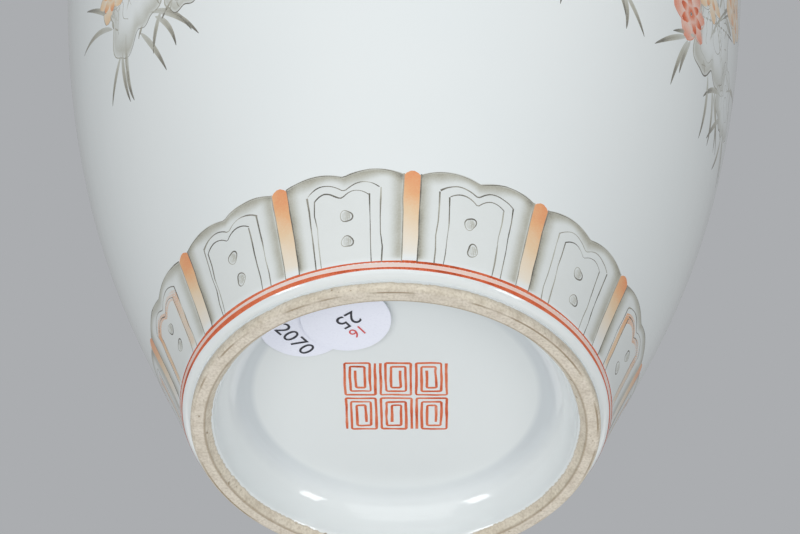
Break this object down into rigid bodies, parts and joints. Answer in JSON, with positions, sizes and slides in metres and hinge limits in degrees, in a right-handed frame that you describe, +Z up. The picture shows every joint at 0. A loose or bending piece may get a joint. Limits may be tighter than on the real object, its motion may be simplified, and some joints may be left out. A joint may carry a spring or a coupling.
{
  "type": "willow-leaf vase",
  "caption": "Tall white porcelain vase with a flared mouth, waisted neck, sloping shoulder and long body narrowing to a recessed foot, with a painted lappet border.",
  "frame": {"origin": "middle of the foot, on the level the vase stands on", "axes": "+Z up along the vase's axis, -Y towards the side that the picture shows nearest"},
  "size_m": [0.1932, 0.1932, 0.42],
  "materials": {
    "glazed_porcelain": "clear glossy glaze on white porcelain, painted over the glaze in grey, iron red and orange",
    "bare_foot": "unglazed fired clay, fine and matt",
    "slip": "thin band of the same clay under the glaze",
    "label_paper": "smooth white paper"
  },
  "bodies": {
    "root": {"foot_ring": "bare_foot", "base_floor": "glazed_porcelain", "lower_body": "glazed_porcelain", "lower_slip_seam": "slip", "middle_body": "glazed_porcelain", "belly_slip_seam": "slip", "upper_body": "glazed_porcelain", "shoulder_slip_seam": "slip", "shoulder": "glazed_porcelain", "neck_slip_seam": "slip", "neck": "glazed_porcelain", "mouth_rim": "glazed_porcelain", "first_paper_label": "label_paper", "second_paper_label": "label_paper"}
  },
  "joints": []
}
